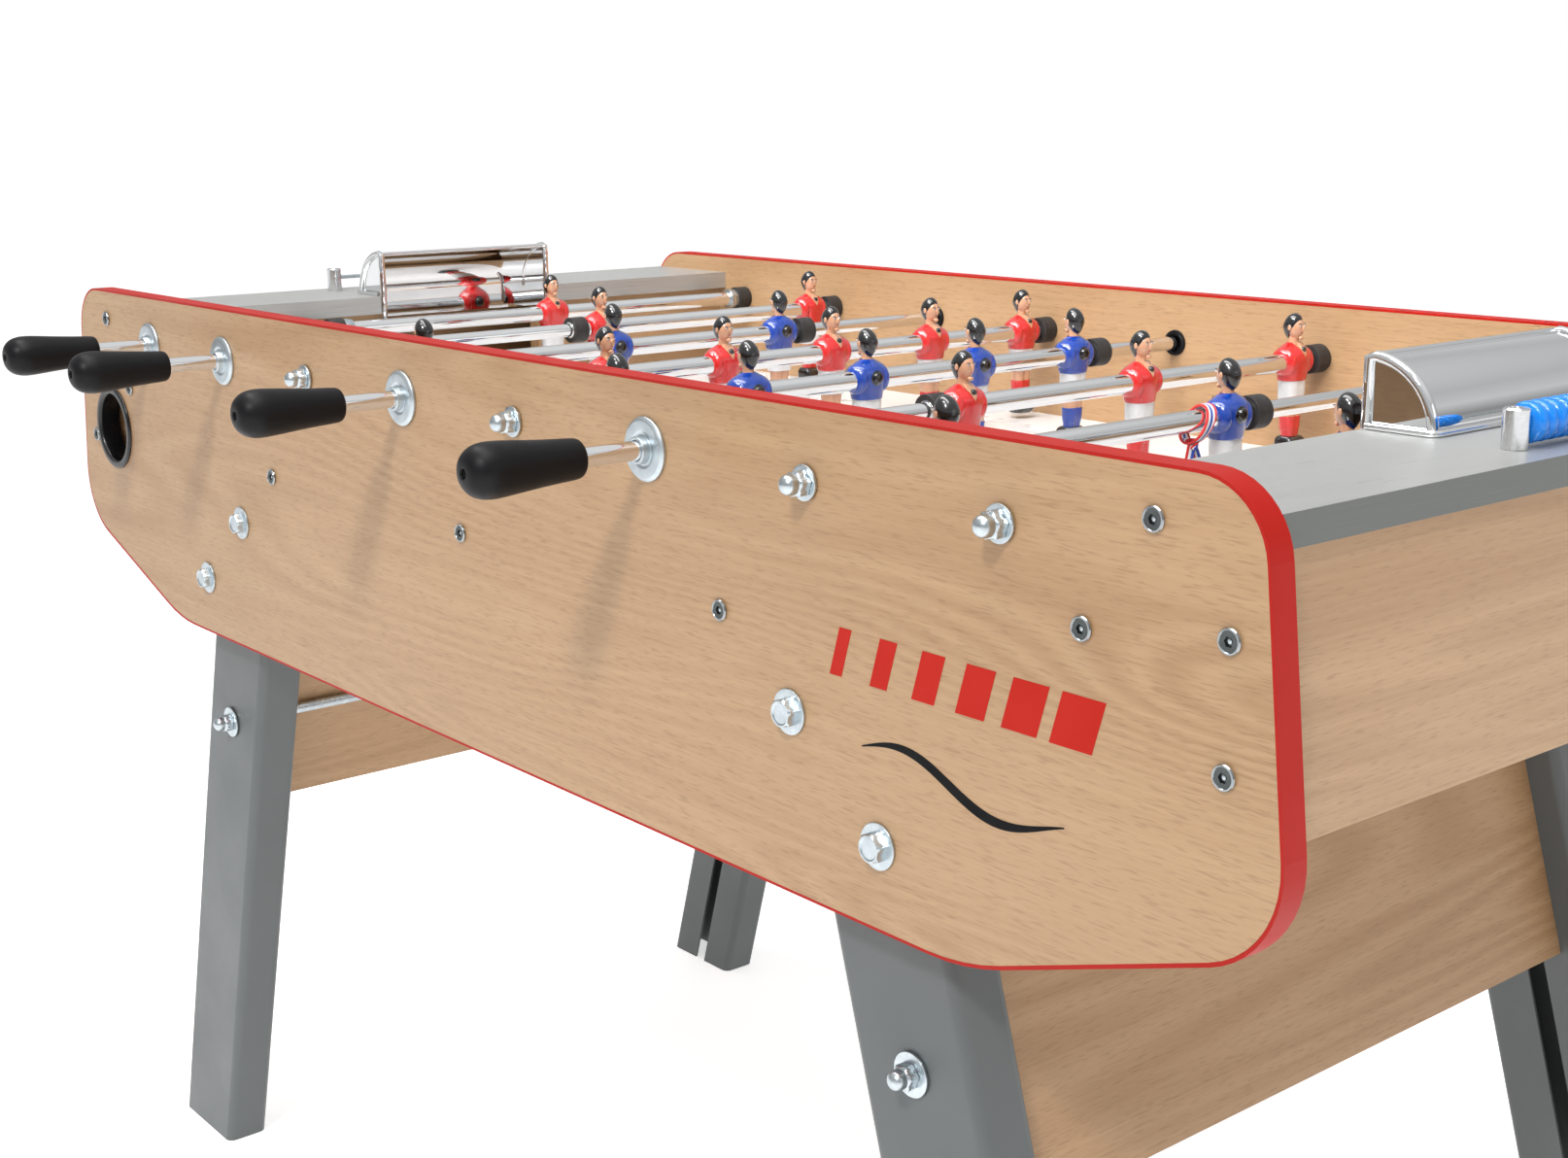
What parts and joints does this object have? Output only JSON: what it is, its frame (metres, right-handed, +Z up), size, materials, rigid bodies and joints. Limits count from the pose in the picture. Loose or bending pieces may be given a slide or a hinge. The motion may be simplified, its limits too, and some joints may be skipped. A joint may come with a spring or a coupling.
{
  "type": "table football game",
  "caption": "Table football game with splayed steel legs, telescopic player rods that slide and spin, goal hoods, ball returns and sliding score beads.",
  "frame": {"origin": "on the floor, halfway along the table and halfway between the outermost grips at rest", "axes": "+X along the table, +Y from the red players' grips to the blue players' grips, +Z up"},
  "size_m": [1.5, 1.067, 0.907],
  "materials": {
    "beech_board": "satin laminate",
    "red_edging": "satin",
    "field_laminate": "satin",
    "brushed_grey": "brushed",
    "chrome": "polished",
    "grey_paint": "satin powder coat",
    "aluminium": "turned",
    "black_plastic": "satin moulded",
    "black_rubber": "matt",
    "zinc_steel": "zinc plated",
    "zinc_cast": "zinc plated",
    "red_enamel": "glossy enamel",
    "blue_enamel": "glossy enamel",
    "blue_beads": "glossy",
    "red_beads": "glossy"
  },
  "bodies": {
    "table": {"side_panel_front": "beech_board", "side_panel_back": "beech_board", "panel_edging": "red_edging", "playfield": "field_laminate", "goal_wall_right": "beech_board", "end_board_right": "beech_board", "ball_chute_right": "beech_board", "end_plate_right": "brushed_grey", "goal_hood_right": "chrome", "apron_right": "beech_board", "goal_wall_left": "beech_board", "end_board_left": "beech_board", "ball_chute_left": "beech_board", "end_plate_left": "brushed_grey", "goal_hood_left": "chrome", "apron_left": "beech_board", "leg_front_left": "grey_paint", "leg_front_right": "grey_paint", "leg_back_left": "grey_paint", "leg_back_right": "grey_paint", "counter_posts": "aluminium", "return_rings": "black_plastic", "panel_screws": "zinc_steel", "leg_fasteners": "zinc_steel", "inner_shafts": "zinc_steel", "rod_flanges": "zinc_cast"},
    "slider_red_goal": {"bumpers_red_goal": "black_rubber"},
    "rod_red_goal": {"tube_red_goal": "chrome", "grip_red_goal": "black_plastic", "players_red_goal": "red_enamel"},
    "slider_red_defence": {"bumpers_red_defence": "black_rubber"},
    "rod_red_defence": {"tube_red_defence": "chrome", "grip_red_defence": "black_plastic", "players_red_defence": "red_enamel"},
    "slider_red_midfield": {"bumpers_red_midfield": "black_rubber"},
    "rod_red_midfield": {"tube_red_midfield": "chrome", "grip_red_midfield": "black_plastic", "players_red_midfield": "red_enamel"},
    "slider_red_attack": {"bumpers_red_attack": "black_rubber"},
    "rod_red_attack": {"tube_red_attack": "chrome", "grip_red_attack": "black_plastic", "players_red_attack": "red_enamel"},
    "slider_blue_goal": {"bumpers_blue_goal": "black_rubber"},
    "rod_blue_goal": {"tube_blue_goal": "chrome", "grip_blue_goal": "black_plastic", "players_blue_goal": "blue_enamel"},
    "slider_blue_defence": {"bumpers_blue_defence": "black_rubber"},
    "rod_blue_defence": {"tube_blue_defence": "chrome", "grip_blue_defence": "black_plastic", "players_blue_defence": "blue_enamel"},
    "slider_blue_midfield": {"bumpers_blue_midfield": "black_rubber"},
    "rod_blue_midfield": {"tube_blue_midfield": "chrome", "grip_blue_midfield": "black_plastic", "players_blue_midfield": "blue_enamel"},
    "slider_blue_attack": {"bumpers_blue_attack": "black_rubber"},
    "rod_blue_attack": {"tube_blue_attack": "chrome", "grip_blue_attack": "black_plastic", "players_blue_attack": "blue_enamel"},
    "beads_right": {"score_beads_right": "blue_beads"},
    "beads_left": {"score_beads_left": "red_beads"}
  },
  "joints": [
    {"name": "slide_red_goal", "type": "slide", "parent": "table", "child": "slider_red_goal", "axis": [0, 1, 0], "range_m": [-0.162, 0]},
    {"name": "spin_red_goal", "type": "hinge", "parent": "slider_red_goal", "child": "rod_red_goal", "pos_m": [-0.56, -0.0285, 0.834], "axis": [0, 1, 0], "continuous": true},
    {"name": "slide_red_defence", "type": "slide", "parent": "table", "child": "slider_red_defence", "axis": [0, 1, 0], "range_m": [-0.345, 0]},
    {"name": "spin_red_defence", "type": "hinge", "parent": "slider_red_defence", "child": "rod_red_defence", "pos_m": [-0.4, -0.0285, 0.834], "axis": [0, 1, 0], "continuous": true},
    {"name": "slide_red_midfield", "type": "slide", "parent": "table", "child": "slider_red_midfield", "axis": [0, 1, 0], "range_m": [-0.131, 0]},
    {"name": "spin_red_midfield", "type": "hinge", "parent": "slider_red_midfield", "child": "rod_red_midfield", "pos_m": [-0.08, -0.0285, 0.834], "axis": [0, 1, 0], "continuous": true},
    {"name": "slide_red_attack", "type": "slide", "parent": "table", "child": "slider_red_attack", "axis": [0, 1, 0], "range_m": [-0.227, 0]},
    {"name": "spin_red_attack", "type": "hinge", "parent": "slider_red_attack", "child": "rod_red_attack", "pos_m": [0.24, -0.0285, 0.834], "axis": [0, 1, 0], "continuous": true},
    {"name": "slide_blue_goal", "type": "slide", "parent": "table", "child": "slider_blue_goal", "axis": [0, 1, 0], "range_m": [-0.018, 0.144]},
    {"name": "spin_blue_goal", "type": "hinge", "parent": "slider_blue_goal", "child": "rod_blue_goal", "pos_m": [0.56, -0.0285, 0.834], "axis": [0, 1, 0], "continuous": true},
    {"name": "slide_blue_defence", "type": "slide", "parent": "table", "child": "slider_blue_defence", "axis": [0, 1, 0], "range_m": [-0.057, 0.288]},
    {"name": "spin_blue_defence", "type": "hinge", "parent": "slider_blue_defence", "child": "rod_blue_defence", "pos_m": [0.4, -0.0285, 0.834], "axis": [0, 1, 0], "continuous": true},
    {"name": "slide_blue_midfield", "type": "slide", "parent": "table", "child": "slider_blue_midfield", "axis": [0, 1, 0], "range_m": [-0.033, 0.098]},
    {"name": "spin_blue_midfield", "type": "hinge", "parent": "slider_blue_midfield", "child": "rod_blue_midfield", "pos_m": [0.08, -0.0285, 0.834], "axis": [0, 1, 0], "continuous": true},
    {"name": "slide_blue_attack", "type": "slide", "parent": "table", "child": "slider_blue_attack", "axis": [0, 1, 0], "range_m": [-0.055, 0.172]},
    {"name": "spin_blue_attack", "type": "hinge", "parent": "slider_blue_attack", "child": "rod_blue_attack", "pos_m": [-0.24, -0.0285, 0.834], "axis": [0, 1, 0], "continuous": true},
    {"name": "slide_beads_right", "type": "slide", "parent": "table", "child": "beads_right", "axis": [0, 1, 0], "range_m": [0, 0.0947]},
    {"name": "slide_beads_left", "type": "slide", "parent": "table", "child": "beads_left", "axis": [0, 1, 0], "range_m": [-0.0947, 0]}
  ]
}
